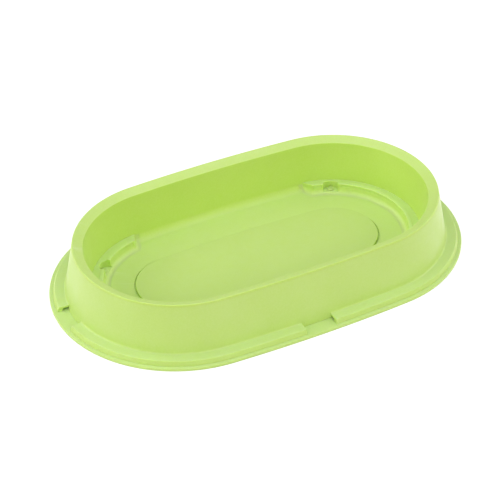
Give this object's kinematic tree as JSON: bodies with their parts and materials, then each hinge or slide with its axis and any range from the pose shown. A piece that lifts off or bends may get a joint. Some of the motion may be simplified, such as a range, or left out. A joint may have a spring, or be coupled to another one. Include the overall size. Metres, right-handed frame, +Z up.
{
  "type": "oval gold pan",
  "caption": "Oval double-walled plastic gold pan: flat-floored tray with a bevelled rim, flared skirt on a stepped foot flange, undercut riffle rails at the ends and a raised floor plate.",
  "frame": {"origin": "middle of the flat underside that the pan rests on", "axes": "+X along the pan towards the right end, +Y towards the back side, +Z up out of the pan's mouth"},
  "size_m": [0.3, 0.1828, 0.0398],
  "materials": {
    "lime_plastic": "semi-matt injection-moulded polypropylene, lime green",
    "pin_plastic": "semi-matt moulded plastic, lime green"
  },
  "bodies": {
    "root": {"inner_tray": "lime_plastic", "outer_skirt": "lime_plastic", "base_ring": "lime_plastic", "left_riffle_rail": "lime_plastic", "right_riffle_rail": "lime_plastic", "centre_plate": "lime_plastic", "rail_pins": "pin_plastic"}
  },
  "joints": []
}
